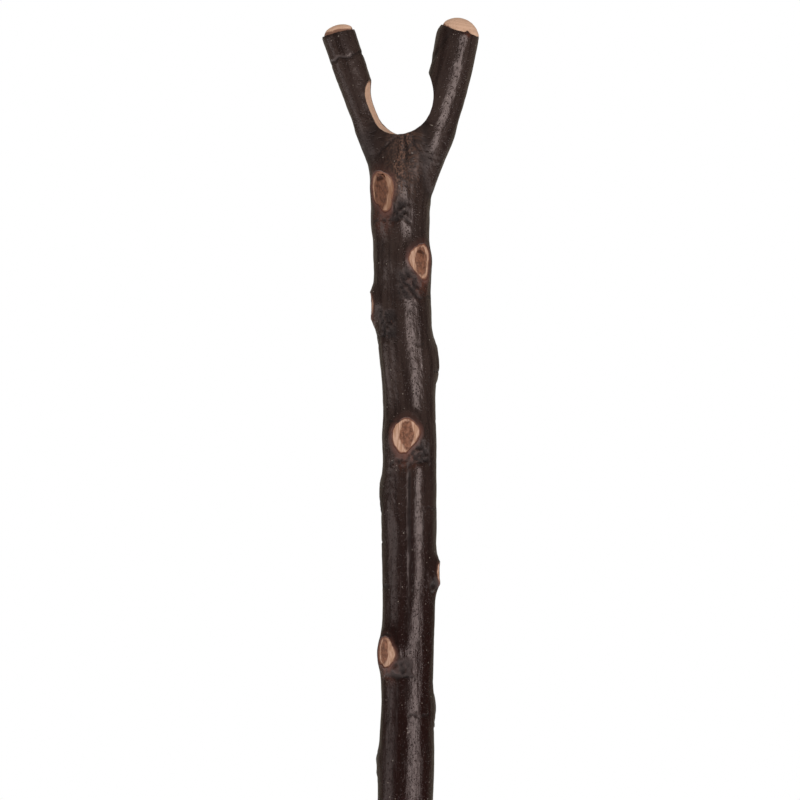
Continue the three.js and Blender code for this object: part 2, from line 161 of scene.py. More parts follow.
lower_shoots_spacing = 78.0
lower_shoots_turn = 137.5
lower_shoots_first_turn = 20.0
lower_shoot_width = 10
lower_shoot_tall = 13
lower_shoot_proud = 1.2
shoot_foot_clearance = 30.0
knife_reach = 14.0
face_crown = 0.9
collar_rise = 1.6
collar_share = 1.3
collar_crown = 1.2
fold_share = 0.82
# How much painted shade darkens the faces nearest the fork, and how fast it fades below the notch.
painted_shade_at_fork = 1.4
painted_shade_fade = 45
chance = np.random.default_rng(7)


class Shoot:
    """A trimmed side shoot: where it leaves the shank, its swelling, and the face that the knife left."""

    def __init__(self, below, turn, width, tall, proud, look_down, spread, puckers, depth, groove, fold):
        self.z = notch_bottom - below
        self.turn = math.radians(turn)
        self.half_width = width / 2
        self.half_tall = tall / 2
        self.lean = math.tan(math.radians(look_down))
        self.radius = float(shank_radius(self.z))
        self.face = self.radius + proud
        edge = self.face / math.cos(self.half_width / self.radius) - self.radius
        boss = max(proud + collar_rise, edge * collar_share)
        self.boss_width = self.half_width / math.sqrt(-math.log(edge / boss))
        self.boss_tall = self.half_tall / math.sqrt(-math.log(proud / boss))
        # Four of these phases are used, and four are spare.
        self.phase = chance.uniform(0, 2 * math.pi, 8)
        self.edge = np.array(face_edges.get(below, torn_edge + chance.uniform(-0.04, 0.04, 24)))
        self.spread = spread
        # Painted shade on the face, strongest near the fork.
        self.painted_shade = painted_shade_at_fork * math.exp(-below / painted_shade_fade)
        self.puckers = puckers * self.half_width
        self.groove = groove * self.half_width
        self.depth = depth
        self.fold = fold
        self.fold_width = fold_share * self.half_width
        middle = shank_middle(self.z)
        self.middle = np.array([float(middle[0]), float(middle[1]), self.z])
        self.out = np.array([math.sin(self.turn), -math.cos(self.turn), 0.0])
        self.side = np.array([math.cos(self.turn), math.sin(self.turn), 0.0])

    def local(self, turn, z):
        """Place on the face's plane, sideways and up, and the turn from the shoot's own direction."""
        turned = np.arctan2(np.sin(turn - self.turn), np.cos(turn - self.turn))
        return self.face * np.tan(np.clip(turned, -1.25, 1.25)), z - self.z, turned

    def edge_at(self, lean):
        """The trimmed wood's outline against a plain oval, by the angle from its lowest point."""
        place = lean / math.radians(15)
        before = np.floor(place).astype(int)
        share = place - before
        wave = 0.01 * np.cos(5 * lean + self.phase[1]) + 0.01 * np.cos(13 * lean + self.phase[2])
        return self.edge[before % 24] * (1 - share) + self.edge[(before + 1) % 24] * share + wave

    def outline(self, across, up):
        """0 in the middle of the face and 1 at the edge of the trimmed wood."""
        lean = np.arctan2(across / self.half_width, -up / self.half_tall)
        return np.hypot(across / self.half_width, up / self.half_tall) / self.edge_at(lean)

    def cut_out(self, across, up):
        """How far from the shank's middle the knife's surface lies."""
        share = np.abs(across) / self.half_width
        lowered = np.maximum(up, -0.6 * self.half_tall) * self.lean
        return self.face + lowered - face_crown * share ** 1.5

    def brown(self, wide, high):
        """How far the brown of the stub has stained a place, given in shares of the face's half sizes."""
        reach = 0.42 * self.half_tall / self.half_width
        return 1 - smooth_step(np.hypot((wide - 0.35 * self.spread) / reach, high / 0.9), 0.5, 1.5)

    def crescent(self, wide, high):
        """The dark crescent in a shallow dent above a steep stub."""
        aside = (wide - 0.3 * self.spread) / 0.38
        above = (high - 0.56 + 0.5 * wide ** 2) / 0.12
        return np.exp(-aside ** 2 - above ** 2) * (self.half_tall > 1.26 * self.half_width)

    def swelling(self, turn, z):
        """The share that the shoot's collar has in the skin, and how far out it holds the skin."""
        across, up, turned = self.local(turn, z)
        outline = self.outline(across, up)
        past = np.maximum(outline, 1)
        edge_across, edge_up = across / past, up / past
        flat = np.hypot(self.cut_out(edge_across, edge_up), edge_across)
        edge_turned = np.arctan2(edge_across, self.face)
        tall = np.where(up > 0, self.boss_tall, self.boss_tall * 1.3)
        fade = ((turned ** 2 - edge_turned ** 2) * self.radius ** 2) / self.boss_width ** 2
        fade += (up ** 2 - edge_up ** 2) / tall ** 2
        crown = collar_crown * np.maximum(1 - outline ** 2, 0)
        return np.exp(-np.maximum(fade, 0)), flat + bark_thickness + crown

    def place(self, across, out, up):
        """A point in the row frame from a place beside, out from and above the shoot."""
        side = np.asarray(across)[..., None] * self.side
        away = np.asarray(out)[..., None] * self.out
        return self.middle + side + away + np.asarray(up)[..., None] * np.array([0, 0, 1.0])


def list_shoots():
    """The upper shoots, and lower ones in the spiral in which such a plant sets them."""
    places = list(upper_shoots)
    below = lower_shoots_start
    turn = lower_shoots_first_turn
    while below < notch_bottom - ferrule_top - shoot_foot_clearance:
        spread = chance.uniform(-0.8, 0.8)
        groove = chance.uniform(-0.3, 0.3)
        size = (lower_shoot_width, lower_shoot_tall, lower_shoot_proud)
        places.append((below, turn, *size, 0, spread, 0.9, 4, groove, 0.4))
        below += lower_shoots_spacing
        turn += lower_shoots_turn
    return [Shoot(*place) for place in places]


shoots = list_shoots()


def smooth_least(a, b, reach):
    near = np.maximum(reach - np.abs(a - b), 0) / reach
    return np.minimum(a, b) - near * near * reach / 4


def oval_distance(wide, deep, wide_radius, deep_radius):
    """Distance outside an oval, close to true near its edge."""
    share = np.hypot(wide / wide_radius, deep / deep_radius)
    steep = np.hypot(wide / wide_radius ** 2, deep / deep_radius ** 2)
    return (share - 1) * share / np.maximum(steep, 1e-6)


def shank_distance(x, y, z):
    """Distance outside the shank, and the place across and back from its middle."""
    middle_x, middle_y = shank_middle(z)
    across = x - middle_x
    back = y - middle_y
    flare = bell(np.maximum(notch_bottom - z, 0), flare_length, flare_power)
    base = shank_radius(z)
    wide = base + fork_flare * flare
    deep = base - flare_thinning * (flare + np.maximum(z - notch_bottom, 0) / web_fade)
    turn = np.arctan2(across, -back)
    plain = 1 / np.hypot(np.sin(turn) / wide, np.cos(turn) / deep)
    swell = np.zeros_like(x)
    for shoot in shoots:
        near = np.abs(z - shoot.z) < 4 * shoot.boss_tall + shoot.half_tall
        if near.any():
            held, reach = shoot.swelling(turn[near], z[near])
            swell[near] += held * (reach - plain[near] - swell[near])
    distance = oval_distance(across, back, wide + swell, deep + swell)
    return np.maximum(distance, z - notch_bottom - shank_top_above_notch), across, back


class Arm:
    """One arm of the fork: the middle line that it grew along, in the plane of the fork, and its radii."""

    def __init__(self, side, tip, bend, root, radii, dome_rise, bark_line, bud):
        root = np.array([root[0], notch_bottom - root[1]])
        bend = np.array([side * bend[0], notch_bottom + bend[1]])
        self.tip = np.array([side * tip[0], stick_top - tip[1]])
        t = np.linspace(0, 1, 21)[:, None]
        line = (1 - t) ** 2 * root + 2 * t * (1 - t) * bend + t * t * self.tip
        self.direction = (self.tip - bend) / np.linalg.norm(self.tip - bend)
        self.line = np.vstack([line, self.tip + arm_overrun * self.direction])
        self.share = np.append(t[:, 0], 1.0)
        self.root_radius, self.tip_radius = radii
        self.dome_rise = dome_rise
        self.bark_line = bark_line
        self.bud = bud

    def distance(self, x, y, z):
        """Distance outside the arm, the place to the right of its line, and the length along it."""
        nearest = np.full_like(x, 1e9)
        beside = np.zeros_like(x)
        along = np.zeros_like(x)
        share = np.zeros_like(x)
        walked = self.line[0][1]
        for k in range(len(self.line) - 1):
            step = self.line[k + 1] - self.line[k]
            length = np.linalg.norm(step)
            off_x = x - self.line[k][0]
            off_z = z - self.line[k][1]
            t = np.clip((off_x * step[0] + off_z * step[1]) / length ** 2, 0, 1)
            off_x = off_x - t * step[0]
            off_z = off_z - t * step[1]
            gap = np.hypot(off_x, off_z)
            closer = gap < nearest
            nearest = np.where(closer, gap, nearest)
            turn_side = np.sign(off_x * step[1] - off_z * step[0])
            beside = np.where(closer, turn_side * gap, beside)
            along = np.where(closer, walked + t * length, along)
            share = np.where(closer, self.share[k] + t * (self.share[k + 1] - self.share[k]), share)
            walked += length
        radius = self.root_radius + (self.tip_radius - self.root_radius) * share
        return np.hypot(nearest, y) - radius, beside, along

    def above_foot(self, x, z):
        """Height over the level where the rounding of the tip starts."""
        over = (x - self.tip[0]) * self.direction[0] + (z - self.tip[1]) * self.direction[1]
        return over + self.dome_rise

    def beyond(self, x, z):
        """How far sideways of the arm's end line a place lies, in the plane of the fork."""
        return (x - self.tip[0]) * self.direction[1] - (z - self.tip[1]) * self.direction[0]

    def beside_tip(self, x, z, spare):
        """Whether a place lies within the arm's width at its tip, and some to spare."""
        return np.abs(self.beyond(x, z)) < self.tip_radius + spare

    def dome_distance(self, x, y, z):
        """Distance outside the rounding of the tip, which counts only above the level where it starts."""
        out = np.hypot(self.beyond(x, z), y)
        over = self.above_foot(x, z)
        rounding = oval_distance(out, np.maximum(over, 0), self.tip_radius + 0.2, self.dome_rise)
        return np.where((over > 0) & (out < self.tip_radius + 7), rounding, -99)

    def bark_level(self, turn):
        """Height from the tip of the line where the bark was pared back, by the turn about the arm."""
        mean, sideways, front = self.bark_line
        wave = 0.16 * np.cos(4 * turn + sideways) + 0.12 * np.cos(9 * turn + front)
        wave += self.bud * bell(turn - bud_turn, 0.11)
        return mean + sideways * np.sin(turn) + front * np.cos(turn) + wave

    def over_line(self, x, y, z):
        """How far above the pared line a place near the tip lies."""
        level = self.bark_level(np.arctan2(self.beyond(x, z), -y))
        return self.above_foot(x, z) - self.dome_rise - level


arm_overrun = 12
bud_turn = math.radians(27)
# Each arm: its side, its tip (outwards, below the stick's top), its bend (outwards, above the notch), its
# root (to the right, below the notch), its radii at root and tip, how high the tip is rounded, the height of
# the pared line over the tip with its rise to the right and to the front, and its rise at the bud.
arms = [
    Arm(-1, (33.9, 3.6), (19.9, 8.5), (0, 35.2), (7.2, 8.2), 5.5, (-3.3, -0.8, 0.4), 0),
    Arm(1, (26.2, 0), (17.9, 2.6), (-5.5, 41.1), (10.0, 10.4), 10.3, (-6.1, -2.3, -1.1), 1.7),
]
fork_start = notch_bottom - 52


def growth(x, y, z):
    """Distance outside the smooth skin of the shoot, the place in its own grain, and the arms' seams."""
    distance, across, back = shank_distance(x, y, z)
    grain = np.stack([across, back, z], axis=1)
    seam = np.zeros_like(x)
    fork = z > fork_start
    for arm in arms:
        arm_distance, beside, along = arm.distance(x[fork], y[fork], z[fork])
        ahead = distance[fork] - arm_distance
        share = smooth_step(ahead, -fork_blend, fork_blend)[:, None]
        grain[fork] = grain[fork] * (1 - share) + np.stack([beside, y[fork], along], axis=1) * share
        seam[fork] = np.maximum(seam[fork], bell(ahead, seam_width))
        distance[fork] = smooth_least(distance[fork], arm_distance, fork_blend)
    for arm in arms:
        distance = np.maximum(distance, arm.dome_distance(x, y, z))
    return distance, grain, seam


def mesh_object(name, points, faces):
    mesh = bpy.data.meshes.new(name)
    mesh.from_pydata((np.asarray(points) * METRE).tolist(), [], faces)
    mesh.update()
    piece = bpy.data.objects.new(name, mesh)
    bpy.context.scene.collection.objects.link(piece)
    return piece


field_half_width = 48
field_half_depth = 20
field_slab = 32
far = 3.0


def skin_mesh(name, field, spacing, rows):
    """A closed mesh where a field of distances is zero, on rows of any spacing."""
    xs = np.arange(-field_half_width, field_half_width, spacing)
    ys = np.arange(-field_half_depth, field_half_depth, spacing)
    values = np.full((len(xs), len(ys), len(rows)), far, np.float32)
    for start in range(0, len(rows), field_slab):
        x, y, z = np.meshgrid(xs, ys, rows[start:start + field_slab], indexing="ij")
        middle_x, middle_y = shank_middle(z)
        rough = np.hypot(x - middle_x, y - middle_y) - shank_radius(z)
        near = (z > fork_start) | (np.abs(rough) < 2 * far)
        part = np.where(rough < 0, -far, far)
        part[near] = np.clip(field(x[near], y[near], z[near]), -far, far)
        values[:, :, start:start + field_slab] = part
    grid = openvdb.FloatGrid(background=far)
    grid.copyFromArray(values)
    points, quads = grid.convertToQuads(isovalue=0.0)
    x = xs[0] + points[:, 0] * spacing
    y = ys[0] + points[:, 1] * spacing
    z = np.interp(points[:, 2], np.arange(len(rows)), rows)
    return mesh_object(name, np.stack([x, y, z], axis=1), quads.tolist())


def loft(rings, bored=False):
    """Points and faces of a closed solid through rings of points, with closed ends or with a bore."""
    count, sides, _ = rings.shape
    points = rings.reshape(-1, 3)
    faces = []
    for j in range(sides):
        after = (j + 1) % sides
        for i in range(count if bored else count - 1):
            k = (i + 1) % count
            faces.append((i * sides + j, k * sides + j, k * sides + after, i * sides + after))
        if not bored:
            last = (count - 1) * sides
            faces.append((j, after, count * sides))
            faces.append((last + after, last + j, count * sides + 1))
    if not bored:
        points = np.vstack([points, rings[0].mean(0), rings[-1].mean(0)])
    return points, faces


def join_lofts(name, lofts):
    """One object of several closed solids, each turned so that its faces point out."""
    points = []
    faces = []
    start = 0
    for solid_points, solid_faces in lofts:
        corners = solid_points - solid_points.mean(0)
        volume = sum(
            np.dot(corners[f[0]], np.cross(corners[f[k]], corners[f[k + 1]]))
            for f in solid_faces for k in range(1, len(f) - 1)
        )
        for face in solid_faces:
            ordered = face if volume > 0 else face[::-1]
            faces.append(tuple(start + k for k in ordered))
        points.append(solid_points)
        start += len(solid_points)
    return mesh_object(name, np.vstack(points), faces)


def cut_away(piece, tool):
    """Cuts a closed tool out of a piece, and keeps the result as its mesh."""
    step = piece.modifiers.new("cut", "BOOLEAN")
    step.operation = "DIFFERENCE"
    step.solver = "MANIFOLD"
    step.object = tool
    shaped = bpy.data.meshes.new_from_object(piece.evaluated_get(bpy.context.evaluated_depsgraph_get()))
    piece.modifiers.clear()
    piece.data = shaped


def drop(*tools):
    for tool in tools:
        bpy.data.objects.remove(tool)


# The cutters: the notch's oval, the knife's surface over each shoot, and the pared end of each arm's bark.
# The rasp has left its marks on the oval, whose lower left side is drawn in.
notch_width = 33.2
notch_height = 36.0
notch_offset = -1.7
notch_twist = math.radians(14)
notch_draw = 1.9
notch_draw_turn = 4.28
rasp_depth = 0.05
around = np.linspace(0, 2 * math.pi, 161)[:-1]
reaches = np.concatenate([[-40], np.arange(-19, 19.1, 0.75), [40]])
rasp = rasp_depth * np.cos(around * 31)[None, :] * np.cos(reaches * 0.9)[:, None]
oval_x = (notch_width / 2 + rasp) * np.sin(around) + notch_draw * bell(around - notch_draw_turn, 0.5)
oval_z = (notch_height / 2 + rasp) * np.cos(around)
oval_y = reaches[:, None] * np.ones(len(around))
notch_rings = np.stack([
    notch_offset + oval_x * math.cos(notch_twist) + oval_y * math.sin(notch_twist),
    oval_y * math.cos(notch_twist) - oval_x * math.sin(notch_twist),
    notch_bottom + notch_height / 2 + oval_z,
], axis=2)
notch_tool = join_lofts("notch_tool", [loft(notch_rings)])

face_sides = np.linspace(-math.pi, math.pi, 89)[:-1]
face_reaches = np.concatenate([np.linspace(0.05, 1.02, 14), np.linspace(1.06, 1.6, 11)])
knife_ripple = 0.07
knife_lift = 9


def face_rings(shoot):
    """Rings of the knife's surface over a face, which climb away past the face's edge."""
    lean, reach = np.meshgrid(face_sides, face_reaches)
    across = reach * shoot.half_width * shoot.edge_at(lean) * np.sin(lean)
    up = -reach * shoot.half_tall * shoot.edge_at(lean) * np.cos(lean)
    out = shoot.cut_out(across, up) + knife_lift * np.maximum(reach - 1.03, 0) ** 1.2
    out += knife_ripple * np.cos(across * 2.1 + shoot.phase[2]) * np.cos(up * 1.3 + shoot.phase[3])
    rings = shoot.place(across, out, up)
    lifted = shoot.place(across[-1], np.full(len(face_sides), shoot.face + knife_reach), up[-1])
    return np.concatenate([rings, lifted[None]])


knife_tool = join_lofts("knife_tool", [loft(face_rings(shoot)) for shoot in shoots])

tip_sides = np.linspace(0, 2 * math.pi, 97)[:-1]
tip_clearance = 4
tip_overrun = 28
tip_dip = 6


def tip_points(arm, out, over):
    """Points round an arm's end, by how far out from its line and how far over its tip they lie."""
    beside = out * np.sin(tip_sides)
    x = arm.tip[0] + beside * arm.direction[1] + over * arm.direction[0]
    y = -out * np.cos(tip_sides)
    z = arm.tip[1] - beside * arm.direction[0] + over * arm.direction[1]
    return np.stack([x, y, z], axis=1)


def bark_trim(arm):
    """All above the line where the bark was pared back from the tip."""
    reach = arm.tip_radius + tip_clearance
    level = arm.bark_level(tip_sides)
    shares = np.linspace(0.1, 1, 8)
    rings = [tip_points(arm, reach * share, level * share - tip_dip * (1 - share)) for share in shares]
    rings.append(tip_points(arm, reach, tip_overrun))
    return loft(np.array(rings))


# The ferrule's own sizes, which the foot of the core is turned down to fit.
ferrule_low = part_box("ferrule_tube")[0] / METRE
disc_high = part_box("ferrule_end_disc")[1] / METRE
ferrule_radius = 12.3
ferrule_wall = 1.1
ferrule_taper = 0.7
fit_gap = 0.3
bare_wood_inset = 0.1


def ferrule_radius_at(z):
    return ferrule_radius - ferrule_taper * (ferrule_top - z) / ferrule_top


def core_field(x, y, z):
    """Distance outside the core: under the bark, out to the skin at the tips, turned down at the foot."""
    inset = np.full_like(x, bark_thickness)
    for arm in arms:
        shown = smooth_step(arm.over_line(x, y, z), -0.2, 0.3) * arm.beside_tip(x, z, 5)
        inset -= (bark_thickness - bare_wood_inset) * shown
    seat = np.hypot(x, y) - ferrule_radius_at(z) + ferrule_wall + fit_gap
    seat = np.maximum(seat, np.maximum(disc_high.z + fit_gap - z, z - ferrule_top - 1))
    return np.minimum(np.maximum(growth(x, y, z)[0] + inset, ferrule_top - z), seat)


shown_bottom = 830.0


def level_rows(low, past_top, coarse, fine):
    """Heights for a skin's rows: coarse along the plain shank and fine in the part with the fork."""
    upper = np.arange(shown_bottom, stick_top + past_top, fine)
    return np.concatenate([np.arange(low, shown_bottom, coarse), upper])


core = skin_mesh("core_wood", core_field, 1.15, level_rows(3, 8, 3.0, 1.3))
cut_away(core, notch_tool)
cut_away(core, knife_tool)


class Wire:
    """A socket in a finish's nodes, with plain arithmetic on its value."""

    def __init__(self, finish, socket):
        self.finish = finish
        self.socket = socket

    def math(self, operation, *values):
        return self.finish.node("ShaderNodeMath", {"operation": operation}, dict(enumerate(values)))

    def wave(self):
        """The sine of the value, brought between 0 and 1."""
        return self.math("SINE", self) * 0.5 + 0.5

    def __abs__(self):
        return self.math("ABSOLUTE", self)

    def __add__(self, other):
        return self.math("ADD", self, other)

    def __sub__(self, other):
        return self.math("SUBTRACT", self, other)

    def __rsub__(self, other):
        return self.math("SUBTRACT", other, self)

    def __mul__(self, other):
        return self.math("MULTIPLY", self, other)

    __radd__ = __add__
    __rmul__ = __mul__


def colour(text):
    """A colour written as six hexadecimal digits, for a socket."""
    parts = [int(text[k:k + 2], 16) / 255 for k in (0, 2, 4)]
    return tuple(p / 12.92 if p <= 0.04045 else ((p + 0.055) / 1.055) ** 2.4 for p in parts) + (1.0,)


class Finish:
    """The nodes of a procedural finish, for a material or for the light of a room."""

    def __init__(self, owner):
        owner.use_nodes = True
        self.owner = owner
        self.tree = owner.node_tree
        self.tree.nodes.clear()

    def node(self, kind, settings, sockets, output=0):
        made = self.tree.nodes.new(kind)
        for key, value in settings.items():
            setattr(made, key, value)
        for key, value in sockets.items():
            if isinstance(value, Wire):
                self.tree.links.new(value.socket, made.inputs[key])
            else:
                made.inputs[key].default_value = value
        return Wire(self, made.outputs[output]) if made.outputs else None

    def attribute(self, name, output="Fac"):
        return self.node("ShaderNodeAttribute", {"attribute_name": name}, {}, output)

    def stretched(self, place, scale):
        return self.node("ShaderNodeVectorMath", {"operation": "MULTIPLY"}, {0: place, 1: scale})

    def noise(self, place, scale, detail=2.0, rough=0.5):
        sockets = {"Vector": self.stretched(place, scale), "Scale": 1.0}
        return self.node("ShaderNodeTexNoise", {}, {**sockets, "Detail": detail, "Roughness": rough})

    def cells(self, place, scale):
        sockets = {"Vector": self.stretched(place, scale), "Scale": 1.0}
        return self.node("ShaderNodeTexVoronoi", {}, sockets, "Distance")

    def step(self, value, low, high, low_to=0.0, high_to=1.0):
        sockets = {"Value": value, "From Min": low, "From Max": high, "To Min": low_to, "To Max": high_to}
        return self.node("ShaderNodeMapRange", {"interpolation_type": "SMOOTHSTEP"}, sockets)

    def mix(self, share, first, second, kind="MIX"):
        """Two colours mixed, each a wire or its six hexadecimal digits."""
        first, second = (colour(c) if isinstance(c, str) else c for c in (first, second))
        settings = {"data_type": "RGBA", "blend_type": kind}
        return self.node("ShaderNodeMix", settings, {0: share, 6: first, 7: second}, 2)

    def coated(self, base, *coats):
        """A colour under coats of others, each with the share that it covers."""
        for share, top in coats:
            base = self.mix(share, base, top)
        return base

    def bump(self, height, distance, strength):
        sockets = {"Height": height, "Distance": distance, "Strength": strength}
        return self.node("ShaderNodeBump", {}, sockets)

    def shade(self, shader="BsdfPrincipled", output="OutputMaterial", **sockets):
        """The shader that everything feeds, and its output."""
        values = {key.replace("_", " "): value for key, value in sockets.items()}
        self.node("ShaderNode" + output, {}, {"Surface": self.node("ShaderNode" + shader, {}, values)})

    def put_on(self, piece, sharp=0):
        """Puts the finish on a piece, smooth but for edges sharper than an angle in degrees."""
        piece.data.materials.clear()
        piece.data.materials.append(self.owner)
        piece.data.shade_smooth()
        piece.data.set_sharp_from_angle(angle=math.radians(sharp))


def points_of(piece):
    flat = np.empty(len(piece.data.vertices) * 3, np.float32)
    piece.data.vertices.foreach_get("co", flat)
    return flat.reshape(-1, 3).astype(float).T / METRE


def note(piece, notes):
    """Keeps named numbers or vectors for each point of a piece, for its finish to read."""
    for name, values in notes.items():
        values = np.asarray(values, np.float32)
        kind, field = ("FLOAT_VECTOR", "vector") if values.ndim == 2 else ("FLOAT", "value")
        piece.data.attributes.new(name, kind, "POINT").data.foreach_set(field, values.ravel())


# Stubs of the side shoots
# The end grain of each trimmed shoot: a slim cone of browner wood that runs crosswise into the core from the
# pith and climbs as it goes. It ends flush in the trimmed face, and a steep one has a dark crescent in a
# shallow dent above it.
stub_climb = math.tan(math.radians(40))
stub_pith_offset = 1.5
stub_pith_share = 0.25
stub_width_share = 0.52
stub_tall_share = 0.76
stub_gap = 0.07
stub_overreach = 5.0
ring_height = 0.03
ring_count = 26
heart_crack = 0.3
crescent_depth = 0.25
stub_sides = np.linspace(-math.pi, math.pi, 49)[:-1]


def stub_oval(shoot, share, spare=0.0):
    """Places round a stub, sideways and up, at a share of its full size and with some to spare."""
    edge = 1
    for height, waves, phase in ((0.09, 2, 3), (0.07, 3, 1), (0.04, 7, 0), (0.03, 12, 2)):
        edge = edge + height * np.cos(waves * stub_sides + shoot.phase[phase])
    wide = shoot.half_width * stub_width_share * share + spare
    tall = shoot.half_tall * stub_tall_share * share + spare
    return wide * edge * np.sin(stub_sides), -tall * edge * np.cos(stub_sides)


def stub_rings(shoot, spare=0.0, over=0.0):
    """Rings of the stub from the pith to its face, then over the face to its middle."""
    rings = []
    for share in np.linspace(0, 1, 8):
        out = stub_pith_offset + (shoot.face + over - stub_pith_offset) * share
        across, up = stub_oval(shoot, stub_pith_share + (1 - stub_pith_share) * out / shoot.face, spare)
        out = out + np.minimum(shoot.cut_out(across, up) - shoot.face, 0) * share ** 3 * (over == 0)
        rings.append(shoot.place(across, out, up + (out - shoot.face) * stub_climb))
    if over == 0:
        for share in np.linspace(0.96, 0.06, 16):
            across, up = stub_oval(shoot, share)
            out = shoot.cut_out(across, up)
            up = up + np.minimum(out - shoot.face, 0) * stub_climb
            out = out + ring_height * math.cos(share * ring_count + shoot.phase[0]) * share
            out = out - heart_crack * bell(np.sin(stub_sides - shoot.phase[1]), 0.12) * (1 - share)
            out = out - crescent_depth * shoot.crescent(across / shoot.half_width, up / shoot.half_tall)
            rings.append(shoot.place(across, out, up))
    return np.array(rings)


stub_tool = join_lofts("stub_tool", [loft(stub_rings(shoot, stub_gap, stub_overreach)) for shoot in shoots])
cut_away(core, stub_tool)


def face_colour(finish):
    """The trimmed face: ragged brown over the stub, a dark crescent above it, and pale wood round it."""
    face_place = finish.attribute("face", "Vector")
    torn = finish.noise(face_place, (2.4, 1.3, 1.0), 4.0, 0.65)
    grains = finish.noise(face_place, (4.2, 3.8, 1.0), 5.0, 0.75)
    fibres = finish.noise(face_place, (7.0, 1.2, 1.0), 3.0, 0.65)
    from_stub = finish.attribute("brown")
    brown = finish.step(from_stub + (torn - 0.5) * 1.5 + (grains - 0.5) * 0.5, 0.32, 0.68)
    brown_colour = finish.mix(finish.step(grains, 0.36, 0.64), "4a2414", "925f46")
    swirl = (from_stub * 15.0 + torn * 9.0).wave()
    dark = finish.step(finish.attribute("crescent") + (grains - 0.5) * 0.8, 0.3, 0.6)
    face = finish.coated(
        "cba38b",
        (finish.step(fibres, 0.4, 0.66) * 0.8, "9c6c4e"),
        (brown * 0.9, finish.mix(swirl * 0.3, brown_colour, "6a3c28")),
        (dark * 0.85, "45220f"),
    )
    # The faces nearest the fork are darkened with painted shade.
    face = finish.mix(finish.attribute("painted_shade"), face, "c8bcae", "MULTIPLY")
    return face, torn + grains * 0.6 - brown * 0.4


def note_face(notes, shoot, number, x, y, z, chosen):
    """Notes the place on a shoot's face for the chosen points."""
    across = (x - shoot.middle[0]) * shoot.side[0] + (y - shoot.middle[1]) * shoot.side[1]
    wide = across[chosen] / shoot.half_width
    high = (z[chosen] - shoot.z) / shoot.half_tall
    notes["face"][chosen] = np.stack([wide, high, np.full(len(wide), number * 3.7)], axis=1)
    notes["brown"][chosen] = shoot.brown(wide, high)
    notes["crescent"][chosen] = shoot.crescent(wide, high)
    notes["painted_shade"][chosen] = shoot.painted_shade


def blank_notes(count):
    notes = {name: np.zeros(count) for name in ("brown", "crescent", "painted_shade")}
    notes["face"] = np.zeros((count, 3))
    return notes


knot_grain = Finish(bpy.data.materials.new("knot_grain"))
knot_colour, knot_rough = face_colour(knot_grain)
knot_grain.shade(
    Base_Color=knot_colour, Roughness=knot_grain.step(knot_rough, 0.4, 1.2, 0.4, 0.6),
    Normal=knot_grain.bump(knot_rough, 0.0004, 0.8), Specular_IOR_Level=0.3,
)

for number, shoot in enumerate(shoots, start=1):
    stub = join_lofts(f"knot_grain_{number:02d}", [loft(stub_rings(shoot))])
    x, y, z = points_of(stub)
    notes = blank_notes(len(x))
    note_face(notes, shoot, number, x, y, z, np.ones(len(x), bool))
    note(stub, notes)
    knot_grain.put_on(stub, 50)
    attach(stub, "root")
    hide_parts(f"knot_{number:02d}")

# Finish of the core
# Pale sapwood with fine lines along the grain, browner where a stub stains it, and with a thin reddish line
# where the bark was cut away.
edge_reach = 0.45
bud_x = 29.5
bud_z = stick_top - 8.2
core_x, core_y, core_z = points_of(core)
core_distance, core_grain, _ = growth(core_x, core_y, core_z)
turn = np.arctan2(core_grain[:, 0], -core_grain[:, 1])
faces = blank_notes(len(core_x))
on_face = np.zeros(len(core_x))
bare_edge = bell(np.maximum(-core_distance - bark_thickness, 0), edge_reach)
for number, shoot in enumerate(shoots, start=1):
    across, up, _ = shoot.local(turn, core_z)
    outline = shoot.outline(across, up)
    here = outline < 1.25
    note_face(faces, shoot, number, core_x, core_y, core_z, here)
    on_face[here] = 1 - smooth_step(outline[here], 1.0, 1.1)
    bare_edge[here] = smooth_step(outline[here], 0.93, 1.02)
for arm in arms:
    over = arm.over_line(core_x, core_y, core_z)
    tip_zone = arm.beside_tip(core_x, core_z, 2) & (over > -1.5)
    bare_edge = np.where(tip_zone, bell(np.maximum(over, 0), edge_reach), bare_edge)
bud_scar = bell(core_x - bud_x, 1.1) * bell(core_z - bud_z, 1.5) * (core_y < 0)
note(core, {"grain": core_grain, **faces, "on_face": on_face, "edge": bare_edge, "bud": bud_scar})

wood = Finish(bpy.data.materials.new("bare_wood"))
place = wood.attribute("grain", "Vector")
cloud = wood.noise(place, (0.16, 0.16, 0.07), 3.0)
fibre = wood.noise(place, (1.6, 1.6, 0.06), 4.0, 0.6)
hair = wood.noise(place, (5.0, 5.0, 0.25), 3.0, 0.7)
from_middle = wood.stretched(place, (1, 1, 0))
from_pith = wood.node("ShaderNodeVectorMath", {"operation": "LENGTH"}, {0: from_middle}, "Value")
years = ((from_pith + cloud * 2.0) * 4.4).wave()
trimmed, trimmed_rough = face_colour(wood)
on_face = wood.attribute("on_face")
wood_colour = wood.coated(
    wood.mix(cloud, "c69c80", "dfb79b"),
    (years * 0.22, "9c7558"),
    (wood.step(fibre, 0.5, 0.72) * 0.35, "8f6a50"),
    (on_face, trimmed),
    (wood.step(wood.attribute("edge"), 0.35, 0.95) * 0.8, "6f412e"),
    (wood.step(wood.attribute("bud"), 0.3, 0.7) * 0.8, "5e4322"),
)
wood_height = fibre * 0.6 + hair * 0.5 + years * 0.15 + on_face * trimmed_rough * 1.6
wood.shade(
    Base_Color=wood_colour, Roughness=wood.step(hair, 0.2, 0.8, 0.42, 0.56),
    Normal=wood.bump(wood_height, 0.00022, 0.7), Specular_IOR_Level=0.3,
    Coat_Weight=0.08, Coat_Roughness=0.3,
)
wood.put_on(core, 32)
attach(core, "root")
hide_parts("wood_core")

# Bark
# The thin dark skin of the shoot, left on and varnished. It is fluted along its length, wrinkled below each
# side shoot, ridged and cracked in the crotch of the fork, and cut through at the notch, tips and knots.
lattice_size = 32
lattice = np.random.default_rng(11).random((lattice_size, lattice_size, lattice_size))


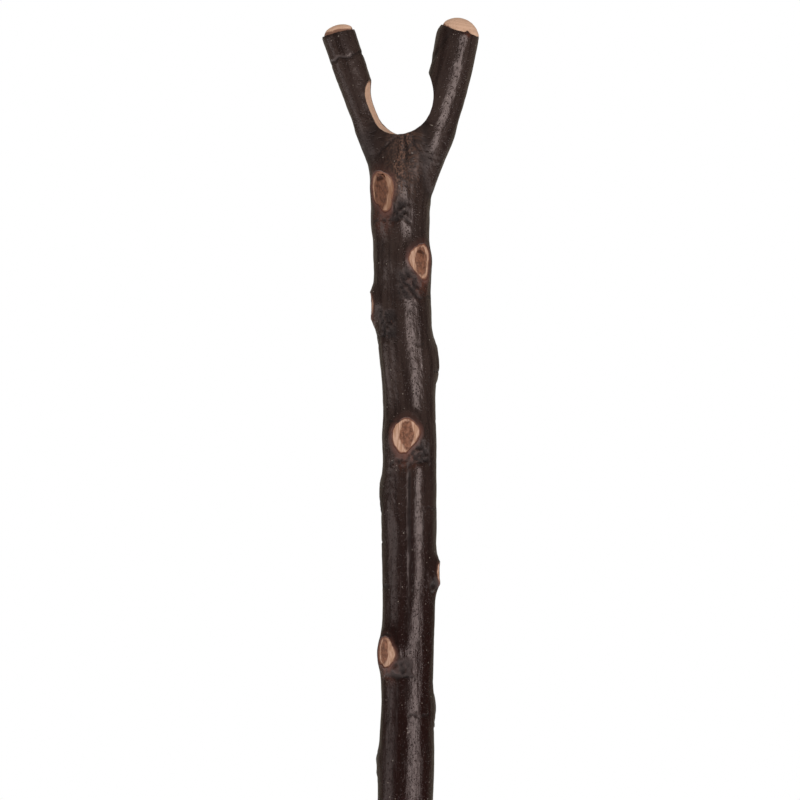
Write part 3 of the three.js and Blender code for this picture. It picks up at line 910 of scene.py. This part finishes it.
def value_noise(x, y, z):
    """Smooth noise from 0 to 1 that repeats with the lattice."""
    corner = np.floor(np.stack([x, y, z])).astype(int)
    part = np.stack([x, y, z]) - corner
    part = part * part * (3 - 2 * part)
    total = np.zeros_like(x)
    for k in range(8):
        step = np.array([k & 1, (k >> 1) & 1, (k >> 2) & 1])
        share = np.prod([part[i] if step[i] else 1 - part[i] for i in range(3)], axis=0)
        at = (corner + step[:, None]) % lattice_size
        total += share * lattice[at[0], at[1], at[2]]
    return total


def band(value, rise_from, rise_to, fall_from, fall_to):
    """1 between a rise and a fall."""
    return smooth_step(value, rise_from, rise_to) * (1 - smooth_step(value, fall_from, fall_to))


lip_height = 0.17
lip_groove = 0.05
arch_depth = 0.4
fold_groove = 0.6
fold_run = 55


def bark_under(shoot, turn, z):
    """The bark round and under a shoot: how far it stands out, how creased and how puckered it is."""
    across, up, turned = shoot.local(turn, z)
    arc = turned * shoot.radius
    fine = value_noise(arc / 2.0 + 3, up / 2.0, np.full(len(z), shoot.phase[0]))
    grit = value_noise(arc / 1.5, up / 1.5 + 4, np.full(len(z), shoot.phase[2]))
    outline = shoot.outline(across, up)
    lip = lip_height * bell(outline - 1.5 - 0.1 * fine, 0.17) - lip_groove * bell(outline - 1.14, 0.1)
    # The folds part at a groove, and each starts under an arch that hangs below the face.
    from_groove = arc - shoot.groove
    beside = np.abs(from_groove) / shoot.fold_width
    arch = np.where(beside < 2, -2.4 * np.abs(beside - 1) ** 3, -60)
    under = arch + (fine - 0.5) * 3 - shoot.half_tall - shoot.depth - up
    line = arch_depth * bell(under, 0.5) * smooth_step(fine, 0.15, 0.5)
    fade = smooth_step(under, -0.5, 3) * bell(np.maximum(under, 0), fold_run)
    rounded = np.where(beside < 1, 1 - np.abs(1 - beside) ** 3, bell(beside - 1, 0.8))
    rounded = np.where(from_groove * shoot.puckers > 0, rounded, 0.12 * rounded)
    fold = shoot.fold * (1.2 * rounded - 0.3 * bell(beside, 2.4, 4)) * fade
    groove = max(shoot.fold, 0) * bell(from_groove, 0.7) * fade
    # The puckers lie between the face and the arch, to one side.
    puckered = smooth_step(outline, 1.2, 1.5) * smooth_step(-up / shoot.half_tall, 0.2, 0.8)
    puckered *= smooth_step(under, 1.5, -0.5) * bell(arc - shoot.puckers, 0.75 * shoot.half_width + 1, 4)
    puckered *= 1 - smooth_step(-up - shoot.half_tall, shoot.depth, shoot.depth + 3)
    wrinkle = (0.35 * np.sin(outline * shoot.half_width * 1.2 + fine * 5) + 1.3 * (grit - 0.6)) * puckered
    # The arch lines, grooves and wrinkle valleys, which the bark's finish darkens with painted shade.
    shaded_crease = line * 2 + groove + smooth_step(-wrinkle, -0.1, 0.15) * puckered
    return lip + fold - line - fold_groove * groove + wrinkle, shaded_crease, puckered


# Two creases run down from the notch along the roots of the arms: each from and to, rightwards and below it.
arm_creases = [(-4.6, 0.5, -14, 10.5), (2.4, 1, 9.6, 14)]
ridge_reach = 36
crack_depth = 1.1
crack_reach = 16


def bark_of_fork(x, back, z, seam):
    """The bark of the crotch: a rough ridge front and back, a crack down from the notch, and creases."""
    below = notch_bottom - z
    from_middle = x - shank_middle(z)[0]
    grit = value_noise(x / 1.2, back / 1.2 + 2, z / 2.2)
    bent = from_middle + 0.4 + below * 0.06 + 1.2 * (grit - 0.5)
    bent += 3.4 * (value_noise(x / 6, back / 6 + 4, z / 5) - 0.5)
    ridge = np.maximum(bell(bent, 3.4 - below * 0.03, 6), 0.42 * bell(from_middle, 9, 4))
    ridge *= band(below, -3, 1, ridge_reach / 2, ridge_reach)
    crack = crack_depth * bell(from_middle - 0.7 - 0.8 * np.sin(z / 3.1), 0.6)
    crack *= band(below, -2, 1, crack_reach - 7, crack_reach)
    wrinkles = bell(from_middle - 12, 4) * bell(below - 12, 3.5)
    lift = ridge * (0.35 + 1.0 * (grit - 0.4)) - crack - 0.35 * seam
    lift += 0.35 * wrinkles * np.sin(z * 2.2 + x * 0.6)
    # The crack, the arms' seams and the creases below, which the bark's finish darkens with painted shade.
    shaded_crease = np.maximum(crack * 1.3, seam * 0.5)
    for start_x, start_below, end_x, end_below in arm_creases:
        run_x, run_below = end_x - start_x, end_below - start_below
        share = ((x - start_x) * run_x + (below - start_below) * run_below) / (run_x ** 2 + run_below ** 2)
        off = ((x - start_x) * run_below - (below - start_below) * run_x) / math.hypot(run_x, run_below)
        off += 1.6 * (value_noise(x / 3.5, back / 3.5 + 7, z / 3.5) - 0.5)
        shown = band(share, -0.05, 0.15, 0.8, 1.15)
        lift += (0.4 * bell(off - 1.8, 1.1) - 0.55 * bell(off, 0.7)) * shown
        shaded_crease = np.maximum(shaded_crease, 0.9 * bell(off, 0.6) * shown)
    return lift, shaded_crease, ridge, wrinkles


left_ring_below = 11
pared_depth = 0.12
mean_depth = 0.1
deepest_dent = 0.65


def bark_relief(x, y, z, grain, seam):
    """How far the bark stands out from the growth, how creased, how rough and how puckered each place is."""
    across, back, along = grain.T
    turn = np.arctan2(across, -back)
    down = smooth_step(notch_bottom - z, 100, 290)
    lift = np.full_like(turn, -mean_depth)
    # Flutes: height, number, how far and over what length they sway, and where they start.
    for height, flutes, sway, run, start in ((0.13, 3, 2.1, 88, 0), (0.07, 5, 1.7, 61, 1)):
        lift += height * np.cos(flutes * turn + sway * np.sin(along / run) + start)
    # Swells, dents, pebbles and fine ribs: height, size across and along, and where each noise starts.
    for height, wide, long, start_x, start_y in (
        (0.45, 5.5, 24, 0, 0), (0.26, 2.6, 6.5, 9, 0), (0.17 - 0.03 * down, 1.3, 2.0, 0, 5),
        (0.08 + 0.08 * down, 1.7, 34, 3, 0),
    ):
        lift += height * (value_noise(across / wide + start_x, back / wide + start_y, along / long) - 0.5)
    shaded_crease = np.zeros_like(lift)
    pucker = np.zeros_like(lift)
    for shoot in shoots:
        near = np.flatnonzero((z < shoot.z + 20) & (z > shoot.z - 95) & (np.cos(turn - shoot.turn) > 0.1))
        if len(near):
            raised, creased, puckered = bark_under(shoot, turn[near], z[near])
            lift[near] += raised
            shaded_crease[near] = np.maximum(shaded_crease[near], creased)
            pucker[near] = np.maximum(pucker[near], puckered)
    raised, creased, ridge, wrinkles = bark_of_fork(x, back, z, seam)
    left_ring = arms[0].above_foot(x, z) + left_ring_below + 0.8 * np.sin(across * 0.7 + 1)
    left_ring = 0.5 * bell(left_ring + 0.5 * np.cos(back * 1.1), 0.55) * (x < -10)
    lift += raised - left_ring
    # The left arm's ring groove joins the creases, which the bark's finish darkens with painted shade.
    shaded_crease = np.maximum(shaded_crease, np.maximum(creased, left_ring * 1.6))
    for arm in arms:
        near_line = arm.beside_tip(x, z, 3) * bell(arm.over_line(x, y, z), 1.6)
        lift = lift * (1 - near_line) - pared_depth * near_line
    return np.maximum(lift, -deepest_dent), np.clip(shaded_crease, 0, 1), ridge, np.maximum(pucker, wrinkles)


bark_bottom = ferrule_top + fit_gap


def bark_field(x, y, z):
    distance, grain, seam = growth(x, y, z)
    return np.maximum(distance - bark_relief(x, y, z, grain, seam)[0], bark_bottom - z)


def hollow_field(x, y, z):
    return growth(x, y, z)[0] + bark_thickness


bark = skin_mesh("bark_skin", bark_field, 0.7, level_rows(36, 10, 1.7, 0.8))
hollow_tool = skin_mesh("hollow_tool", hollow_field, 1.2, level_rows(20, 12, 3.0, 1.4))
trim_tool = join_lofts("trim_tool", [bark_trim(arm) for arm in arms])
for tool in (hollow_tool, notch_tool, knife_tool, trim_tool):
    cut_away(bark, tool)
drop(hollow_tool, notch_tool, knife_tool, trim_tool, stub_tool)

bark_x, bark_y, bark_z = points_of(bark)
bark_distance, bark_grain, bark_seam = growth(bark_x, bark_y, bark_z)
lift, shaded_crease, ridge, pucker = bark_relief(bark_x, bark_y, bark_z, bark_grain, bark_seam)
turn = np.arctan2(bark_grain[:, 0], -bark_grain[:, 1])
halo = np.zeros(len(bark_x))
rust = bell(np.hypot(bark_x - bud_x, bark_z - bud_z + 0.6), 1.6) * (bark_y < 0)
for shoot in shoots:
    across, up, _ = shoot.local(turn, bark_z)
    outline = shoot.outline(across, up)
    lower = -up / shoot.half_tall
    halo = np.maximum(halo, (1 - smooth_step(outline, 1.1, 1.6)) * (1 - 0.7 * smooth_step(-lower, 0.3, 1.1)))
    rust = np.maximum(rust, bell(across, shoot.half_width) * band(lower, 0.6, 1.1, 1.2, 2.6))
note(bark, {
    "grain": bark_grain, "cut": np.clip((lift - bark_distance) / bark_thickness, 0, 1), "shaded_crease": shaded_crease,
    "halo": halo, "rust": rust, "ridge": ridge, "pucker": pucker,
    "down": smooth_step(notch_bottom - bark_z, 95, 265),
})

skin = Finish(bpy.data.materials.new("varnished_bark"))
place = skin.attribute("grain", "Vector")
cut_depth, shaded_crease, halo, rust, ridge, down = (
    skin.attribute(name) for name in ("cut", "shaded_crease", "halo", "rust", "ridge", "down")
)
pucker = skin.attribute("pucker") * (1 - down * 0.65)
patches = skin.noise(place, (0.11, 0.11, 0.03), 3.0)
streaks = skin.noise(place, (0.5, 0.5, 0.035), 3.0, 0.6)
mottle = skin.noise(place, (0.55, 0.55, 0.42), 3.0, 0.6)
pebble = skin.noise(place, (1.3, 1.3, 0.9), 3.0, 0.6)
swells = skin.noise(place, (0.5, 0.5, 0.3), 1.0)
threads = skin.noise(place, (1.9, 1.9, 0.1), 3.0, 0.6)
folded = abs(skin.noise(place, (0.75, 0.75, 0.6), 4.0, 0.6) - 0.5)
dots = skin.step(skin.cells(place, (0.42, 0.42, 0.62)), 0.2, 0.1)
pits = skin.step(skin.cells(place, (0.85, 0.85, 0.7)), 0.34, 0.12)
specks = skin.step(skin.cells(place, (0.24, 0.24, 0.24)), 0.09, 0.05)
bark_colour = skin.coated(
    skin.mix(skin.step(patches, 0.35, 0.65), "322622", "3a2d28"),
    (down, "210d0a"),
    (skin.step(streaks, 0.45, 0.65) * 0.6, "1e120f"),
    (skin.step(mottle, 0.45, 0.75) * 0.4, "2a1916"),
    (pits * 0.5, "0f0706"),
    (dots * 0.3, "4a3a34"),
    (specks * 0.85, "857a70"),
    (rust * skin.step(mottle, 0.3, 0.6), "4d281b"),
    (halo * (streaks + 0.4) * 0.9, "5e372c"),
    (ridge * skin.step(pebble, 0.44, 0.6), "6c4c3b"),
    # Painted shade in the creases, cracks, seams and grooves.
    (shaded_crease * 0.8, "110807"),
    (skin.step(cut_depth, 0.28, 0.45), skin.mix(skin.step(cut_depth, 0.45, 1.0), "5a3326", "8a5c45")),
    # Painted shade in the sunken valleys of the puckered folds.
    (pucker * skin.step(folded, 0.04, 0.16) * 0.8, "0e0605"),
)
bark_height = swells * 0.65 + mottle * 0.25 + pebble * 0.08 + streaks * 0.2 + dots * 0.1 + specks * 0.1
bark_height = (bark_height - pits * 0.42) * (1 - down * 0.2) - pucker * folded * 3.2
skin.shade(
    Base_Color=bark_colour,
    Roughness=0.23 + pebble * 0.06 + ridge * 0.25 + shaded_crease * 0.3 + halo * 0.22 + pucker * 0.1,
    Normal=skin.bump(bark_height + threads * (0.16 + down * 0.3), 0.0005, 0.5),
    Specular_IOR_Level=0.66, Specular_Tint=(1.0, 0.81, 0.77, 1.0),
)
skin.put_on(bark, 38)
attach(bark, "root")
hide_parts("bark")

# Ferrule tube
# A drawn brass tube pressed over the turned foot of the core. It has a bead rolled at its mouth, a hole on
# each side for a pin, and a surface that is slightly dented and tarnished.
metal_sides = np.linspace(0, 2 * math.pi, 129)[:-1]


def turned_rings(profile):
    """Rings of a turned piece from its outline, as pairs of radius and height."""
    sines, cosines = np.sin(metal_sides), np.cos(metal_sides)
    return np.array([
        np.column_stack([radius * sines, -radius * cosines, np.full_like(sines, z)]) for radius, z in profile
    ])


bead_height = 2.4
bead_bulge = 0.5
edge_round = 0.3
tube_bottom = ferrule_low.z
tube_foot = ferrule_radius_at(tube_bottom)
tube_outline = [
    (tube_foot - ferrule_wall, tube_bottom + edge_round),
    (tube_foot - ferrule_wall + edge_round, tube_bottom),
    (tube_foot - edge_round, tube_bottom),
]
for z in np.linspace(tube_bottom + edge_round, ferrule_top - bead_height, 40):
    worn = 0.025 * math.sin(z * 2.7) + 0.02 * math.sin(z * 1.1 + 1)
    tube_outline.append((ferrule_radius_at(z) + worn, z))
for share in np.linspace(0.06, 1, 14):
    z = ferrule_top - bead_height * (1 - share)
    tube_outline.append((ferrule_radius_at(z) + bead_bulge * math.sin(math.pi * share), z))
tube_outline.append((ferrule_radius_at(ferrule_top) - ferrule_wall, ferrule_top - 0.1))
tube = join_lofts("ferrule_brass", [loft(turned_rings(tube_outline), bored=True)])

pin_radius = 0.9
pin_length = 7.0
pin_z = 27.0
pin_play = 0.05
pin_stand = 0.12
pin_rounding = 0.3
pin_sides = np.linspace(0, 2 * math.pi, 33)[:-1]


def pin_rings(side, spare, end_out, rounding):
    """Rings of a pin along its length, from inside the wood to its head."""
    face = ferrule_radius_at(pin_z) + end_out
    stations = [(face - pin_length - end_out, 0.5), (face - pin_length + 0.6, 1.0), (face - rounding, 1.0)]
    if rounding:
        for angle in np.linspace(0.2, 1.45, 8):
            stations.append((face - rounding * (1 - math.sin(angle)), math.cos(angle)))
    rings = []
    for out, share in stations:
        reach = (pin_radius + spare) * share
        back, up = reach * np.cos(pin_sides), reach * np.sin(pin_sides)
        rings.append(np.stack([np.full(len(pin_sides), side * out), back, pin_z + up], axis=1))
    return np.array(rings)


hole_tool = join_lofts("hole_tool", [loft(pin_rings(side, pin_play, 3.0, 0)) for side in (-1, 1)])
cut_away(tube, hole_tool)
cut_away(core, hole_tool)
drop(hole_tool)

brass = Finish(bpy.data.materials.new("brass"))
brass_place = brass.node("ShaderNodeTexCoord", {}, {}, "Object")
drawn = brass.noise(brass_place, (260.0, 260.0, 2600.0), 2.0)
tarnish = brass.noise(brass_place, (90.0, 90.0, 60.0), 5.0, 0.65)
scuffs = brass.noise(brass_place, (900.0, 900.0, 160.0), 2.0, 0.7)
brass.shade(
    Base_Color=brass.coated(
        brass.mix(brass.step(tarnish, 0.4, 0.7), "c9a35c", "8c6a38"),
        (brass.step(scuffs, 0.62, 0.8) * 0.4, "e0c284"),
    ),
    Metallic=1.0, Roughness=0.2 + brass.step(tarnish, 0.4, 0.75) * 0.22 + drawn * 0.1,
    Normal=brass.bump(drawn * 0.5 + scuffs * 0.4, 0.00008, 0.6),
)
brass.put_on(tube, 40)
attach(tube, "root")
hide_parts("ferrule_tube")

# Wear disc
# A turned steel plug with a flange, brazed in the end of the tube, that meets the ground. Its rim is worn
# round and its underside is scratched.
disc_flange = 2.6
disc_outer = ferrule_radius_at(disc_flange)
disc_plug = disc_outer - ferrule_wall - fit_gap
rim = 0.8
bevel = 0.3
disc_outline = [(bevel, 0.0), (4.0, 0.0), (8.0, 0.0), (disc_outer - rim - 0.5, 0.0)]
for angle in np.linspace(0, math.pi / 2, 8):
    disc_outline.append((disc_outer - rim + rim * math.sin(angle), rim - rim * math.cos(angle)))
disc_outline += [(disc_outer, disc_flange - 0.2), (disc_outer - 0.2, disc_flange), (disc_plug, disc_flange)]
disc_outline += [(disc_plug, disc_high.z - bevel), (disc_plug - bevel, disc_high.z), (bevel, disc_high.z)]
disc = join_lofts("ferrule_wear_disc", [loft(turned_rings(disc_outline))])

steel = Finish(bpy.data.materials.new("steel"))
steel_place = steel.node("ShaderNodeTexCoord", {}, {}, "Object")
scratches = steel.noise(steel_place, (2400.0, 240.0, 2400.0), 3.0, 0.7)
cross_scratches = steel.noise(steel_place, (260.0, 2100.0, 2400.0), 3.0, 0.7)
rusty = steel.noise(steel_place, (180.0, 180.0, 180.0), 5.0, 0.7)
steel.shade(
    Base_Color=steel.coated(
        steel.mix(steel.step(scratches, 0.45, 0.75), "7d7f82", "b3b4b4"),
        (steel.step(rusty, 0.58, 0.75) * 0.6, "5e4a3c"),
    ),
    Metallic=steel.step(rusty, 0.6, 0.78, 1.0, 0.4),
    Roughness=0.3 + cross_scratches * 0.15 + steel.step(rusty, 0.55, 0.75) * 0.3,
    Normal=steel.bump(scratches + cross_scratches, 0.0001, 0.7),
)
steel.put_on(disc, 40)
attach(disc, "root")
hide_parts("ferrule_end_disc")

# Ferrule pins
# Two brass pins driven through the tube into the wood, one on each side. Their low round heads are dressed
# nearly flush with the tube.
for side, hand in ((-1, "left"), (1, "right")):
    pin = join_lofts(f"ferrule_pin_head_{hand}", [loft(pin_rings(side, 0, pin_stand, pin_rounding))])
    brass.put_on(pin, 60)
    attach(pin, "root")
    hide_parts(f"ferrule_pin_{hand}")

# Floor
# A pale paper floor that the stick stands on. To the eye and in reflections it adds some white of its own,
# and it keeps the shadow.
floor_reach = 2400
floor_white = 0.42
corners = [(-1, -1, 0), (1, -1, 0), (1, 1, 0), (-1, 1, 0)]
floor = mesh_object("studio_floor", np.array(corners) * floor_reach, [(0, 1, 2, 3)])
paper = Finish(bpy.data.materials.new("floor_paper"))


def rays(finish, *kinds):
    """1 for a light ray of one of some kinds."""
    each = [finish.node("ShaderNodeLightPath", {}, {}, f"Is {kind} Ray") for kind in kinds]
    return sum(each[1:], each[0])


seen = rays(paper, "Camera", "Glossy", "Transmission")
paper.shade(
    Base_Color=(0.8, 0.8, 0.8, 1), Roughness=0.9, Emission_Strength=1.0,
    Emission_Color=paper.mix(seen, "000000", (*[floor_white] * 3, 1)),
)
paper.put_on(floor)

# Light
# A soft box to the right of the camera, a dim wide one from the left, and an even white room round them. In
# reflections only the wall behind the stick is seen, and faintly.
room_light = 0.88


def soft_box(name, turn, away, height, width, tall, watts):
    lamp = bpy.data.lights.new(name, "AREA")
    lamp.shape = "RECTANGLE"
    lamp.size = width
    lamp.size_y = tall
    lamp.energy = watts
    box = bpy.data.objects.new(name, lamp)
    box.location = (away * math.sin(math.radians(turn)), -away * math.cos(math.radians(turn)), height)
    box.rotation_euler = (math.pi / 2, 0, math.radians(turn))
    bpy.context.scene.collection.objects.link(box)


soft_box("key_light", 31, 1.6, 0.90, 0.66, 0.64, 6.3)
soft_box("left_light", -80, 1.5, 0.84, 0.9, 0.3, 1.1)

world = bpy.data.worlds.new("white_room")
bpy.context.scene.world = world
room = Finish(world)
direction = room.node("ShaderNodeTexCoord", {}, {}, "Generated")
behind = room.step(room.node("ShaderNodeSeparateXYZ", {}, {0: direction}, "Y"), 0.3, 0.85, 0.02, 0.25)
mirrored = rays(room, "Glossy")
strength = rays(room, "Diffuse") * room_light + mirrored * behind + rays(room, "Camera", "Transmission")
tint = room.mix(mirrored, "ffffff", (1, 0.9, 0.72, 1))
room.shade("Background", "OutputWorld", Color=tint, Strength=strength)

# Camera
# Level with the middle of the part that the photograph shows, straight in front, through a long lens that
# takes in that part and no more.
view_width = 0.384
view_middle_x = -0.00288
view_middle_z = 1.0366
camera_away = 3.0
lens = bpy.data.cameras.new("camera")
lens.sensor_width = 36.0
lens.lens = lens.sensor_width * camera_away / view_width
camera = bpy.data.objects.new("camera", lens)
camera.location = (view_middle_x, -camera_away, view_middle_z)
camera.rotation_euler = (math.pi / 2, 0, 0)
bpy.context.scene.collection.objects.link(camera)
bpy.context.scene.camera = camera
bpy.context.scene.view_settings.view_transform = "Standard"
